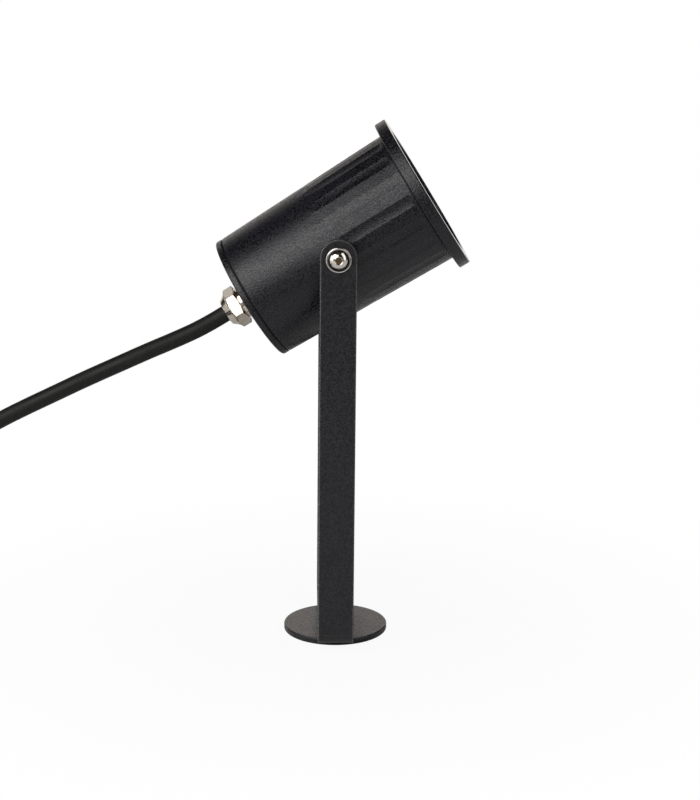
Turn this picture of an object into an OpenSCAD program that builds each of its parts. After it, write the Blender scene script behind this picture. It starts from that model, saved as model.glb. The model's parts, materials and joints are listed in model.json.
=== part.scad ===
// Garden spotlight: a round lamp head that tilts in a flat-bar yoke on a round foot plate,
// with a screw-on front ring, a back cover, a cable gland and a rubber mains cable.
// The origin is the middle of the foot plate's underside, the lamp points to +X and +Z is up.
// The head is drawn along +Z from its pivot point and then tilted into place.

/* [Foot and stem] */
// Diameter of the round foot plate
foot_d = 50.8; // [44:0.2:70]
// Thickness of the foot plate
foot_t = 3; // [2.5:0.5:6]
// Rounding of the foot plate's edges
foot_edge_r = 0.6; // [0.2:0.1:0.9]
// Outside diameter of the hollow threaded stem
stem_d = 10; // [9:0.5:12]
// Bore of the hollow stem, for a spike's stud or a screw
stem_bore_d = 7.6; // [5:0.2:8]
// How far the stem stands above its nut
stem_end = 1.5; // [0.5:0.25:4]
// Width across the flats of the stem nut
stem_nut_af = 14; // [13.5:0.5:18]
// Thickness of the stem nut
stem_nut_t = 3; // [2:0.5:5]
// Diameter of the spacer washer between foot and yoke
spacer_d = 16; // [14:0.5:22]
// Thickness of the spacer washer
spacer_t = 2; // [1:0.25:4]

/* [Yoke] */
// Width of the flat bar
bar_w = 17; // [16:0.5:22]
// Thickness of the flat bar
bar_t = 3; // [2:0.25:4]
// Rounding of the bar's edges
bar_edge_r = 0.5; // [0.2:0.1:0.9]
// Inside radius of the two bends
bend_in_r = 3; // [2:0.5:8]
// Height of the pivot axis above the ground
pivot_h = 192.3; // [150:1:260]
// How far the middle of the arm's round end lies above the pivot
tip_rise = 0.9; // [0:0.1:3]
// How far the bar's middle lies beside the stem's, at the foot
bar_shift = -0.4; // [-1.5:0.1:1.5]
// Lean of the two arms, in degrees
arm_lean = 0.45; // [0:0.05:1]

/* [Pivot] */
// Thread diameter of the pivot screws
pivot_screw_d = 5; // [4:0.5:6]
// Length of the pivot screws under the head
pivot_screw_l = 10; // [8:0.5:10]
// Diameter of the screw's flange
flange_d = 11.8; // [10.5:0.1:14]
// Thickness of the screw's flange
flange_t = 0.9; // [0.6:0.1:1.5]
// Diameter of the screw's dome
dome_d = 9.4; // [8:0.1:10]
// Height of the screw's dome above the flange
dome_h = 2; // [1.5:0.1:2.6]
// Width across the flats of the screw's hexagon socket
socket_af = 3; // [2.5:0.5:4]
// Depth of the hexagon socket
socket_deep = 1.7; // [1:0.1:2]
// Thickness of the friction washers
friction_t = 0.8; // [0.5:0.1:1.5]
// Diameter of the friction washers and of the pivot bosses
boss_d = 15; // [12:0.5:16]
// How far the pivot bosses stand out of the housing
boss_stand = 3.7; // [1.5:0.1:5]

/* [Housing] */
// Length of the housing in front of the pivot
front_l = 43.9; // [40:0.1:60]
// Length of the housing behind the pivot
back_l = 45.1; // [44:0.1:60]
// Space round the lamp inside the chamber
lamp_space = 2.4; // [1.5:0.1:4]
// Thickness of the chamber's wall at the back end
wall_t = 3.6; // [2.8:0.1:5]
// How much wider the housing's radius is at the front end
draft = 2.3; // [2:0.1:4]
// Rounding of the housing's back edge
rear_edge_r = 0.4; // [0.1:0.1:0.8]
// Number of shallow flutes that run back from the front edge
flute_count = 18; // [12:1:24]
// Width of a flute
flute_w = 5.7; // [3:0.1:6]
// Depth of a flute in its middle
flute_deep = 0.36; // [0.1:0.02:0.5]
// Where the flutes have run out, measured forward from the pivot
flute_start = -3; // [-6:0.5:6]
// Length over which the flutes run out
flute_fade = 17; // [10:0.5:22]
// Length of the plain collar in front of the flutes
collar_l = 1.2; // [0.6:0.1:3]
// Turn of the ring of flutes, in degrees
flute_turn = 1.2; // [0:0.1:10]

/* [Front ring and glass] */
// How far the front ring stands out round the housing
ring_lip = 5.8; // [3:0.1:8]
// Thickness of the front ring's flange
ring_t = 5.6; // [4:0.2:9]
// Wall of the ring's collar round its opening
ring_wall = 1.8; // [1.5:0.1:4]
// Width of the ring's front face, round its wide mouth
ring_face_w = 7; // [3:0.1:8]
// Thickness of the ring's flange behind the mouth
mouth_floor = 1.2; // [1:0.1:2]
// Rounding of the front ring's outer edges
ring_edge_r = 0.6; // [0.2:0.1:1.2]
// Wall of the housing round the ring's thread
thread_wall = 2.9; // [2.4:0.1:3.2]
// Thickness of the front glass
glass_t = 4; // [3:0.5:5]
// Depth of the glass seat below the housing's front edge
seat_deep = 11.3; // [10:0.1:14]
// Thickness of the glass gasket
gasket_t = 1; // [0.5:0.1:2]
// Thickness of the seal between ring and housing
ring_seal_t = 0.4; // [0.3:0.05:1]

/* [Back cover] */
// Thickness of the back cover
cover_t = 3; // [3:0.25:5]
// Rounding of the cover's outer edge
cover_edge_r = 0.8; // [0.2:0.1:1.2]
// Width of the seam between cover and housing
seam_w = 0.7; // [0.4:0.05:1.2]
// Depth of the seam down to the gasket
seam_deep = 0.8; // [0.4:0.1:1.2]
// Thread diameter of the small screws
small_d = 3; // [2.5:0.25:3.5]
// How far the cover screws lie inside the chamber's wall
screw_inset = 3; // [2.8:0.1:4]

/* [Cable gland] */
// Width across the flats of the gland's hexagons
gland_af = 17.4; // [17:0.2:20]
// Thread diameter of the gland
gland_thread_d = 15.8; // [15:0.1:16]
// Thickness of the gland body's hexagon
gland_hex_t = 2.4; // [1.5:0.1:4]
// Length of the neck that shows between the two hexagons
gland_neck_l = 2; // [0.5:0.1:3]
// Length of the cap nut's hexagon
cap_hex_l = 5.6; // [3:0.2:7]
// Length of the cap nut's dome
cap_dome_l = 3.2; // [2:0.1:4]
// Thickness of the lock nut inside
lock_nut_t = 2.8; // [2:0.2:3.2]

/* [Lamp and holder] */
// Diameter of the reflector lamp's front
lamp_d = 50; // [46:0.5:56]
// Space between the lamp's front and the glass gasket's seat
lamp_gap = 1.6; // [1:0.2:4]
// Distance between the lamp's two pins
pin_gap = 10; // [9.5:0.25:11]
// Height of the ceramic lampholder
holder_h = 14; // [12:0.5:15]
// Thickness of the steel plate that carries the lampholder
plate_t = 1.2; // [0.8:0.1:2]

/* [Cable] */
// Diameter of the rubber cable
cable_d = 8; // [6.5:0.5:8.4]
// Number of turns in the stored coil
coil_turns = 5.5; // [2.5:1:7.5]
// Smallest radius of the coil's turns
coil_min_r = 32.5; // [30:0.5:40]
// Distance from one turn of the coil to the next
coil_pitch = 8.5; // [8.5:0.1:10]
// Length of the bared cores at the cable's free end
bare_l = 34; // [20:1:60]
// Diameter of an insulated core
core_d = 2.5; // [2:0.1:2.6]

/* [Hidden] */
$fn = 72;
small_fn = 32;
// One overrun for all cuts, the gap of a fitted piece and the gap of a turning or sliding fit
over = 1;
fit_gap = 0.05;
run_gap = 0.08;
loose_gap = 0.3;

// Stand heights, from the ground up
yoke_z = foot_t + spacer_t;
stem_nut_z = yoke_z + bar_t;
stem_top = stem_nut_z + stem_nut_t + stem_end;

// Radii of the head, from the lamp outwards
chamber_r = lamp_d / 2 + lamp_space;
rear_r = chamber_r + wall_t;
front_r = rear_r + draft;
collar_r = front_r - thread_wall;
screw_circle_r = chamber_r - screw_inset;

// Housing radius at a distance in front of the pivot
function body_r(s) = rear_r + (front_r - rear_r) * (s + back_l) / (front_l + back_l);

// Yoke, from the head's width across the pivot bosses
boss_face = body_r(0) + boss_stand;
arm_in = boss_face + friction_t;
arm_out = arm_in + bar_t;
bend_z = yoke_z + bar_t + bend_in_r;
tip_z = pivot_h + tip_rise;
pivot_x = bar_shift + (pivot_h - bend_z) * tan(arm_lean);
shank_r = pivot_screw_d / 2 - fit_gap;
// The cable's route below is drawn for this tilt of the head above the level
head_tilt = 31.55;
boss_wall = 0.6;
tip_gap = 0.3;

// Places along the head's axis, from the pivot
seam_s = -back_l;
cover_in = seam_s - seam_w;
cover_out = cover_in - cover_t;
seat_s = front_l - seat_deep;
glass_s = seat_s + gasket_t;
collar_s = glass_s + glass_t;
ring_s = front_l + ring_seal_t;
bore_r = collar_r + fit_gap;
ring_open_chamfer = 0.4;

// Flutes: places along one, and there how deep its middle and how high its edges lie, as shares of
// its depth. Each is cut a little wider than it shows, so that it comes clear of the wall.
flute_end = front_l - collar_l;
flute_end_l = 2.4;
flute_steps = 10;
flute_over_share = 1.3;
flute_places = [
    flute_start, flute_start + flute_fade / 3, flute_start + flute_fade * 2 / 3, flute_start + flute_fade,
    flute_end - flute_end_l, flute_end - flute_end_l / 3, flute_end
];
flute_middle_shares = [-0.15, 0.33, 0.75, 1, 1, 0.7, -0.1];
flute_edge_shares = [0.3, 0.08, 0, 0, 0, 0.1, 0.5];

// Cover screws, countersunk, and the bosses they turn into
screw_boss_r = 4;
screw_boss_l = 15.4;
boss_hole_l = 5;
cover_screw_l = 8;
small_head_d = 5.6;
small_head_h = 1.8;
screw_turns = [60, 180, 300];
cross_w = 0.8;
cross_l = 2.6;
cross_deep = 0.8;

// Gland, from the cover outwards
gland_turn = -14;
gland_body_turn = 20;
gland_r = gland_thread_d / 2;
gland_inner_l = 5.8;
thread_deep = 0.6;
neck_r = gland_r - thread_deep;
seal_r = 6.3;
hex_back = cover_out - gland_hex_t;
cap_s = hex_back - gland_neck_l;
dome_s = cap_s - cap_hex_l;
cap_end = dome_s - cap_dome_l;
cap_mouth_r = cable_d / 2 + loose_gap;
hex_chamfer = 0.7;
lock_nut_af = 19;
stub_stand = 3.3;
stub_short = 1.3;
stub_in = cover_in + gland_inner_l - stub_short;
stub_out = cap_end - stub_stand;

// Lampholder and lamp, from the plate forwards
plate_back = seam_s + screw_boss_l;
plate_front = plate_back + plate_t;
plate_gap = 0.5;
plate_r = chamber_r - plate_gap;
holder_s = plate_front + holder_h;
holder_w = 17;
holder_l = 27;
pin_hole_r = 2.75;
pin_hole_l = 7.5;
contact_r = 1.9;
contact_stand = 1.8;
contact_back = plate_back - contact_stand;
holder_screw_y = 5.5;
holder_screw_l = 6;
earth_y = -(holder_w / 2 + plate_r) / 2;
tag_r = 3.4;
tag_t = 0.8;
tag_neck_l = 5.7;
lamp_front = seat_s - lamp_gap;
lamp_base_r = 11.5;
lamp_base_l = 8;
lamp_rim_l = 6;
lens_step = 1.2;
lens_rim_w = 2;
lens_r = lamp_d / 2 - lens_rim_w;
lens_bump_r = 5;
lens_bump_h = 0.9;
lens_ring_r = (lens_r + lens_bump_r) / 2;
lens_ring_count = 6;
pin_r = 1.65;
pin_head_r = 2.5;
pin_head_l = 1.2;
pin_l = 7;

// Cable route from the gland down to the coil on the ground, with its points of X and Z, and how
// far each lies to the side: straight at first, then out to the coil's edge
cable_r = cable_d / 2;
core_r = core_d / 2;
core_ring_r = 2.1;
core_turns = [30, 150, 270];
tie_w = 5;
tie_t = 1.2;
tie_corner_r = 3;
ferrule_l = 8;
ferrule_r = 0.9;
coil_low_z = tie_t + loose_gap + cable_r;
coil_top_z = coil_low_z + coil_pitch;
coil_x = -268;
coil_out_r = coil_min_r + coil_pitch * coil_turns / 2;
coil_y = -20;
coil_steps = 24;
route = [
    [-61.5, 0, 154.1], [-67, 0, 151.2], [-73, 0, 148.4], [-81, 0, 144.9],
    [-89, 0, 141.5], [-104, 0, 134.8], [-120, 0, 127.6], [-136, 0, 120], [-149, 0, 113.8],
    [-161, 0.8, 107.6], [-172, 3, 100.9], [-181, 6.6, 93.2], [-188, 11.3, 84], [-193.5, 16.5, 73.5],
    [-198, 22, 62], [-202, 27, 51], [-207, 31.2, 41], [-214, 34, 31.6], [-223, 35.4, 23.6],
    [-233, 35.9, 17.9], [-242, 35.9, 14.9]
];

// Small helpers
function unit(v) = v / norm(v);
function arc(x, y, r, a0, a1, steps) = [
    for (i = [0:steps])
        let (a = a0 + (a1 - a0) * i / steps)
        [x + r * cos(a), y + r * sin(a)]
];

module ring(r_out, r_in, low, high) {
    translate([0, 0, low]) difference() {
        cylinder(r = r_out, h = high - low);
        translate([0, 0, -over]) cylinder(r = r_in, h = high - low + 2 * over);
    }
}

module hex_ring(af, r_in, low, high) {
    translate([0, 0, low]) difference() {
        cylinder(d = af / cos(30), h = high - low, $fn = 6);
        translate([0, 0, -over]) cylinder(r = r_in, h = high - low + 2 * over);
    }
}

// A small rod or hole from a low to a high place, narrower at the top if asked
module small_rod(r, low, high, r_top = undef) {
    translate([0, 0, low])
        cylinder(r1 = r, r2 = is_undef(r_top) ? r : r_top, h = high - low, $fn = small_fn);
}

// A disc with its two outer edges rounded, and a hole
module round_ring(r_out, r_in, low, high, edge_low, edge_high) {
    rotate_extrude() polygon(concat(
        [[r_in, low]],
        arc(r_out - edge_low, low + edge_low, edge_low, -90, 0, 4),
        arc(r_out - edge_high, high - edge_high, edge_high, 0, 90, 4),
        [[r_in, high]]
    ));
}

module on_head() {
    translate([pivot_x, 0, pivot_h]) rotate([0, 90 - head_tilt, 0]) children();
}

module at_screws() {
    for (a = screw_turns) rotate(a) translate([screw_circle_r, 0, 0]) children();
}

// A screw with a low round head and a cross slot, its head above zero and its thread below
module small_screw(l) {
    difference() {
        union() {
            small_rod(small_head_d / 2, 0, small_head_h, small_head_d / 2 - small_head_h / 2);
            small_rod(small_d / 2 - fit_gap, -l, small_head_h / 2);
        }
        for (a = [0, 90]) rotate(a)
            translate([-cross_l / 2, -cross_w / 2, small_head_h - cross_deep])
                cube([cross_l, cross_w, cross_deep + over]);
    }
}

// A tube along points, as one closed mesh of triangles
function heading(p, i) = unit(p[min(i + 1, len(p) - 1)] - p[max(i - 1, 0)]);
function hoop(p, i, r, sides, side_way) =
    let (t = heading(p, i), a = unit(cross(t, side_way)), b = cross(a, t))
    [for (k = [0:sides - 1])
        let (turn = 360 * (k + 1 / 2) / sides)
        p[i] + r * (cos(turn) * a + sin(turn) * b)];

module tube(p, r, sides, side_way) {
    last = len(p) - 1;
    corners = [for (i = [0:last]) each hoop(p, i, r, sides, side_way)];
    walls = [for (i = [0:last - 1], k = [0:sides - 1])
        let (a = i * sides + k, b = i * sides + (k + 1) % sides)
        each [[a, b + sides, b], [a, a + sides, b + sides]]];
    ends = [for (k = [1:sides - 2])
        each [[0, k, k + 1], [last * sides, last * sides + k + 1, last * sides + k]]];
    polyhedron(points = corners, faces = concat(walls, ends), convexity = 8);
}

// Stand
module foot_plate() {
    color("#6e6a66") difference() {
        round_ring(foot_d / 2, 0, 0, foot_t, foot_edge_r, foot_edge_r);
        translate([0, 0, -over]) cylinder(r = stem_d / 2 + fit_gap, h = foot_t + 2 * over);
    }
}

module hollow_stem() {
    color("silver") ring(stem_d / 2, stem_bore_d / 2, 0, stem_top);
}

module spacer_washer() {
    color("dimgray") ring(spacer_d / 2, stem_d / 2 + fit_gap, foot_t, yoke_z);
}

module stem_nut() {
    color("silver") hex_ring(stem_nut_af, stem_d / 2 + fit_gap, stem_nut_z, stem_nut_z + stem_nut_t);
}

// Section of the flat bar, its width along X
module bar_section() {
    e = bar_edge_r;
    polygon(concat(
        arc(bar_w / 2 - e, bar_t / 2 - e, e, 0, 90, 3),
        arc(e - bar_w / 2, bar_t / 2 - e, e, 90, 180, 3),
        arc(e - bar_w / 2, e - bar_t / 2, e, 180, 270, 3),
        arc(bar_w / 2 - e, e - bar_t / 2, e, 270, 360, 3)
    ));
}

module yoke_arm() {
    arm_y = arm_in + bar_t / 2;
    translate([bar_shift, arm_in - bend_in_r, bend_z]) rotate([0, 90, 0])
        rotate_extrude(angle = 90) translate([bend_in_r + bar_t / 2, 0]) rotate(90) bar_section();
    translate([bar_shift, arm_y, bend_z]) rotate([0, arm_lean, 0]) {
        translate([0, 0, -bar_edge_r]) linear_extrude(tip_z - bend_z + bar_edge_r) bar_section();
        translate([0, bar_t / 2, tip_z - bend_z]) rotate([90, 0, 0])
            round_ring(bar_w / 2, 0, 0, bar_t, bar_edge_r, bar_edge_r);
    }
}

module yoke_bracket() {
    flat_l = 2 * (arm_in - bend_in_r);
    color("#2b2b2d") difference() {
        union() {
            translate([bar_shift, 0, yoke_z + bar_t / 2]) rotate([90, 0, 0])
                linear_extrude(flat_l, center = true) bar_section();
            yoke_arm();
            mirror([0, 1, 0]) yoke_arm();
        }
        translate([0, 0, yoke_z - over]) cylinder(r = stem_d / 2 + fit_gap, h = bar_t + 2 * over);
        translate([pivot_x, 0, pivot_h]) rotate([90, 0, 0])
            cylinder(r = shank_r + run_gap, h = 2 * (arm_out + over), center = true);
    }
}

// Head
module housing_shell() {
    rotate_extrude() polygon(concat(
        [[chamber_r, seam_s]],
        arc(rear_r - rear_edge_r, seam_s + rear_edge_r, rear_edge_r, -90, 0, 3),
        [[front_r, front_l], [bore_r, front_l], [bore_r, seat_s], [chamber_r, seat_s]]
    ));
}

// A flute's section at one of its places: hollow across, and closed outside the wall
function flute_section(i) =
    let (r = body_r(flute_places[i]), half = flute_w / 2, lift = flute_edge_shares[i] * flute_deep)
    let (hollow = flute_middle_shares[i] * flute_deep + lift)
    concat(
        [for (k = [0:flute_steps])
            let (y = half * flute_over_share * (2 * k / flute_steps - 1))
            [sqrt(r * r - y * y) + lift - hollow * (1 - y * y / (half * half)), y, flute_places[i]]],
        [for (side = [1, -1]) [r + over, side * half * flute_over_share, flute_places[i]]]
    );

// The shallow flutes round the front of the housing
module flutes() {
    sides = flute_steps + 3;
    last = len(flute_places) - 1;
    corners = [for (i = [0:last]) each flute_section(i)];
    walls = [for (i = [0:last - 1], k = [0:sides - 1])
        let (a = i * sides + k, b = i * sides + (k + 1) % sides)
        each [[a, b, b + sides], [a, b + sides, a + sides]]];
    ends = [[for (k = [sides - 1:-1:0]) k], [for (k = [0:sides - 1]) last * sides + k]];
    for (i = [0:flute_count - 1]) rotate(flute_turn + i * 360 / flute_count)
        polyhedron(points = corners, faces = concat(walls, ends), convexity = 4);
}

// Puts its children on both ends of the pivot axis, their +Z pointing outwards
module on_pivots() {
    for (side = [0, 1]) mirror([0, side, 0]) rotate([-90, 0, 0]) children();
}

module housing() {
    boss_root = chamber_r + boss_wall;
    hole_end = arm_out - pivot_screw_l - tip_gap;
    color("#3a3b3e") on_head() difference() {
        union() {
            difference() {
                housing_shell();
                flutes();
            }
            on_pivots() translate([0, 0, boss_root]) cylinder(d = boss_d, h = boss_face - boss_root);
            at_screws() small_rod(screw_boss_r, seam_s, plate_back);
        }
        on_pivots() small_rod(shank_r + fit_gap, hole_end, boss_face + over);
        at_screws() {
            small_rod(small_d / 2, seam_s - over, seam_s + boss_hole_l + tip_gap);
            small_rod(small_d / 2, plate_back - boss_hole_l - tip_gap, plate_back + over);
        }
    }
}

module back_cover() {
    color("#3a3b3e") on_head() difference() {
        round_ring(rear_r, gland_r + fit_gap, cover_out, cover_in, cover_edge_r, cover_edge_r / 4);
        at_screws() {
            small_rod(small_d / 2 + run_gap, cover_out - over, cover_in + over);
            small_rod(small_head_d / 2 + fit_gap, cover_out - over, cover_out + small_head_h);
        }
    }
}

module cover_gasket() {
    color("black") on_head() ring(rear_r - seam_deep, chamber_r + fit_gap, cover_in, seam_s);
}

module cover_screws() {
    color("silver") on_head() at_screws() translate([0, 0, cover_out + small_head_h])
        mirror([0, 0, 1]) small_screw(cover_screw_l - small_head_h);
}

// Cable gland of plated brass, with a rubber seal and a lock nut inside the cover
module gland_body() {
    thread_end = cover_in + gland_inner_l;
    color("silver") on_head() difference() {
        union() {
            translate([0, 0, hex_back]) rotate(gland_body_turn)
                cylinder(d = gland_af / cos(30), h = gland_hex_t, $fn = 6);
            translate([0, 0, cover_out]) cylinder(r = gland_r, h = thread_end - cover_out);
            translate([0, 0, dome_s + fit_gap]) cylinder(r = neck_r, h = cover_out - dome_s);
        }
        translate([0, 0, dome_s]) cylinder(r = seal_r + fit_gap, h = hex_back - dome_s);
        translate([0, 0, dome_s]) cylinder(r = cap_mouth_r, h = thread_end - dome_s + over);
    }
}

module gland_nut() {
    dome_r = gland_af / 2;
    color("silver") on_head() difference() {
        intersection() {
            union() {
                translate([0, 0, dome_s]) rotate(gland_turn)
                    cylinder(d = gland_af / cos(30), h = cap_hex_l, $fn = 6);
                rotate_extrude() polygon(concat(
                    [[0, cap_end]],
                    arc(dome_r - cap_dome_l, dome_s, cap_dome_l, -90, 0, 6),
                    [[0, dome_s + fit_gap]]
                ));
            }
            rotate_extrude() polygon([
                [0, cap_end - over], [dome_r - cap_dome_l, cap_end - over],
                [dome_r + fit_gap, dome_s], [dome_r + 2 * hex_chamfer, dome_s + hex_chamfer],
                [dome_r + 2 * hex_chamfer, cap_s - hex_chamfer], [dome_r, cap_s], [0, cap_s]
            ]);
        }
        translate([0, 0, dome_s]) cylinder(r = neck_r + fit_gap, h = cap_hex_l + over);
        translate([0, 0, cap_end - over]) cylinder(r = cap_mouth_r, h = cap_dome_l + 2 * over);
    }
}

module gland_locknut() {
    color("silver") on_head() hex_ring(lock_nut_af, gland_r + fit_gap, cover_in, cover_in + lock_nut_t);
}

module gland_seal() {
    color("black") on_head() ring(seal_r, cable_r + fit_gap, dome_s + fit_gap, hex_back);
}

// Pivot screws with a flange, a low dome and a hexagon socket
module pivot_screws() {
    dome_r = dome_d / 2;
    ball_r = (dome_r * dome_r + dome_h * dome_h) / (2 * dome_h);
    rim_angle = asin((ball_r - dome_h) / ball_r);
    color("silver") on_head() on_pivots() translate([0, 0, arm_out]) difference() {
        union() {
            small_rod(shank_r, -pivot_screw_l, flange_t / 2);
            round_ring(flange_d / 2, 0, 0, flange_t, flange_t / 4, flange_t / 4);
            rotate_extrude() polygon(concat(
                [[0, 0]], [[dome_r, 0]],
                arc(0, flange_t + dome_h - ball_r, ball_r, rim_angle, 90, 8)
            ));
        }
        translate([0, 0, flange_t + dome_h - socket_deep])
            cylinder(d = socket_af / cos(30), h = socket_deep + over, $fn = 6);
    }
}

module friction_washers() {
    color("dimgray") on_head() on_pivots() ring(boss_d / 2, shank_r + run_gap, boss_face, arm_in);
}

// Lampholder on its steel plate
module at_pins() {
    for (side = [-1, 1]) translate([side * pin_gap / 2, 0, 0]) children();
}

module at_holder_screws() {
    for (side = [-1, 1]) translate([0, side * holder_screw_y, 0]) children();
}

module holder_plate() {
    hole_r = contact_r + loose_gap;
    color("silver") on_head() difference() {
        translate([0, 0, plate_back]) cylinder(r = plate_r, h = plate_t);
        at_pins() small_rod(hole_r, plate_back - over, plate_front + over);
        at_screws() small_rod(small_d / 2 + run_gap, plate_back - over, plate_front + over);
        at_holder_screws() small_rod(small_d / 2, plate_back - over, plate_front + over);
        translate([0, earth_y, 0]) small_rod(small_d / 2, plate_back - over, plate_front + over);
    }
}

module plate_screws() {
    color("silver") on_head() at_screws() translate([0, 0, plate_front]) small_screw(boss_hole_l + plate_t);
}

module lampholder() {
    end_r = holder_w / 2;
    color("white") on_head() difference() {
        translate([0, 0, plate_front]) {
            translate([end_r - holder_l / 2, -end_r, 0]) cube([holder_l - holder_w, holder_w, holder_h]);
            for (side = [-1, 1]) translate([side * (holder_l / 2 - end_r), 0, 0])
                cylinder(r = end_r, h = holder_h);
        }
        at_pins() {
            small_rod(pin_hole_r, holder_s - pin_hole_l, holder_s + over);
            small_rod(contact_r + fit_gap, plate_front - over, holder_s);
        }
        at_holder_screws() small_rod(small_d / 2, plate_front - over, plate_front + holder_screw_l);
    }
}

module holder_screws() {
    color("silver") on_head() at_holder_screws()
        translate([0, 0, plate_back]) mirror([0, 0, 1]) small_screw(holder_screw_l);
}

module holder_contacts() {
    color("goldenrod") on_head() at_pins()
        ring(contact_r, core_r / 2, contact_back, holder_s - pin_hole_l);
}

// Earth tag and screw on the back of the plate
module earth_tag() {
    low = plate_back - tag_t;
    color("goldenrod") on_head() translate([0, earth_y, 0]) difference() {
        union() {
            small_rod(tag_r, low, plate_back);
            translate([-core_r, 0, low]) cube([core_d, tag_neck_l, tag_t]);
        }
        small_rod(small_d / 2, low - over, plate_back + over);
    }
}

module earth_screw() {
    color("silver") on_head() translate([0, earth_y, plate_back - tag_t]) mirror([0, 0, 1])
        small_screw(tag_t + plate_t + tip_gap);
}

// Insulated cores inside the head, from the cable's end to the contacts and the earth tag
function core_start(turn) = [core_ring_r * cos(turn), core_ring_r * sin(turn), stub_in];
module core_to_contact(turn, side) {
    start = core_start(turn);
    stop = [side * pin_gap / 2, 0, contact_back];
    lift = (stop[2] - start[2]) / 5;
    tube([
        start, start + [0, 0, lift], (3 * start + stop) / 4 + [0, 0, lift / 4], (start + stop) / 2,
        (start + 3 * stop) / 4 - [0, 0, lift / 4], stop - [0, 0, lift], stop
    ], core_r, 8, [0, 1, 0]);
}

module core_brown_inside() {
    color("saddlebrown") on_head() core_to_contact(core_turns[0], 1);
}

module core_blue_inside() {
    color("royalblue") on_head() core_to_contact(core_turns[1], -1);
}

module core_earth_inside() {
    start = core_start(core_turns[2]);
    rest = plate_back - tag_t - core_r;
    stop = [0, earth_y + tag_neck_l, rest];
    drop = (rest - stub_in) / 4;
    color("yellowgreen") on_head() tube([
        start, start + [0, 0, drop], start + [0, -core_ring_r, 2 * drop],
        [0, (start[1] + stop[1]) / 2, rest - drop], stop + [0, core_d, -drop / 3], stop,
        stop - [0, tag_neck_l / 3, 0]
    ], core_r, 8, [1, 0, 0]);
}

// Reflector lamp with two pins
module lamp_body() {
    rim_s = lamp_front - lamp_rim_l;
    lamp_r = lamp_d / 2;
    base_top = holder_s + lamp_base_l;
    color("gainsboro") on_head() difference() {
        rotate_extrude() polygon(concat(
            [[0, holder_s], [lamp_base_r, holder_s], [lamp_base_r, base_top]],
            arc(lamp_r + lamp_base_r, base_top, lamp_r, 180, 140, 6),
            [[lamp_r, rim_s], [lamp_r, lamp_front], [0, lamp_front]]
        ));
        translate([0, 0, lamp_front - lens_step]) cylinder(r = lens_r, h = lens_step + over);
    }
}

module lamp_lens() {
    ball_r = (lens_bump_r * lens_bump_r + lens_bump_h * lens_bump_h) / (2 * lens_bump_h);
    low = lamp_front - lens_step;
    color("white") on_head() {
        translate([0, 0, low]) cylinder(r = lens_r - fit_gap, h = lens_step - lens_bump_h);
        for (i = [0:lens_ring_count]) rotate(i * 360 / lens_ring_count)
            translate([i == lens_ring_count ? 0 : lens_ring_r, 0, low]) rotate_extrude() polygon(concat(
                [[0, 0], [lens_bump_r, 0]],
                arc(0, lens_step - ball_r, ball_r, asin((ball_r - lens_bump_h) / ball_r), 90, 5)
            ));
    }
}

module lamp_pins() {
    color("silver") on_head() at_pins() {
        small_rod(pin_r, holder_s - pin_l, holder_s);
        small_rod(pin_head_r, holder_s - pin_l, holder_s - pin_l + pin_head_l);
    }
}

// Front glass on its gasket, and the ring that screws in over it
module glass_gasket() {
    color("black") on_head() ring(bore_r - loose_gap, chamber_r + fit_gap, seat_s, glass_s);
}

module front_glass() {
    color("lightcyan", 0.4) on_head() translate([0, 0, glass_s])
        cylinder(r = bore_r - loose_gap, h = glass_t);
}

module front_ring() {
    open_r = collar_r - ring_wall;
    ring_r = front_r + ring_lip;
    mouth_r = ring_r - ring_face_w;
    mouth_s = ring_s + mouth_floor;
    top = ring_s + ring_t;
    e = ring_edge_r;
    color("#3a3b3e") on_head() rotate_extrude() polygon(concat(
        [[open_r, collar_s], [collar_r, collar_s], [collar_r, ring_s]],
        arc(ring_r - e, ring_s + e, e, -90, 0, 4),
        arc(ring_r - e, top - e, e, 0, 90, 4),
        [[mouth_r + ring_open_chamfer, top], [mouth_r, top - ring_open_chamfer]],
        [[mouth_r, mouth_s], [open_r, mouth_s]]
    ));
}

module ring_seal() {
    color("black") on_head() ring(front_r - ring_seal_t, collar_r + fit_gap, front_l, ring_s);
}

// Rubber cable: inside the gland, down to the ground, and stored in a coil
module cable_stub() {
    color("#2f2f2f") on_head() translate([0, 0, stub_out]) cylinder(r = cable_r, h = stub_in - stub_out);
}

function head_point(s) = [pivot_x + s * cos(head_tilt), 0, pivot_h + s * sin(head_tilt)];
run_start = stub_out - loose_gap;
run_path = concat(
    [head_point(run_start), head_point(run_start - cable_r / 2)],
    route,
    [for (i = [2, 1]) [coil_x + i * cable_d, coil_y + coil_out_r, coil_top_z]]
);

module cable_run() {
    color("#2f2f2f") tube(run_path, cable_r, 8, [0, 1, 0]);
}

// Radius and height of the coil's middle line after a number of turns. It spirals in along the
// top layer, drops to the lower layer in the half turn where it reverses, and spirals out again.
function coil_r(t) = coil_min_r + coil_pitch * abs(t - coil_turns / 2);
function coil_z(t) =
    let (done = min(max((t - coil_turns / 2 + 1 / 4) * 2, 0), 1))
    coil_top_z - coil_pitch * (1 - cos(180 * done)) / 2;
function coil_point(t) = [
    coil_x + coil_r(t) * cos(90 + 360 * t),
    coil_y + coil_r(t) * sin(90 + 360 * t),
    coil_z(t)
];
coil_line = [for (i = [0:coil_turns * coil_steps]) coil_point(i / coil_steps)];
coil_end = coil_line[len(coil_line) - 1];
end_way = unit(cross([0, 0, 1], coil_end - [coil_x, coil_y, coil_end[2]]));
free_end = coil_end + cable_d * end_way;
coil_path = concat([coil_line[0] + [cable_d, 0, 0]], coil_line, [free_end]);

module cable_coil() {
    color("#2f2f2f") tube(coil_path, cable_r, 6, [0, 0, 1]);
}

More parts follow.
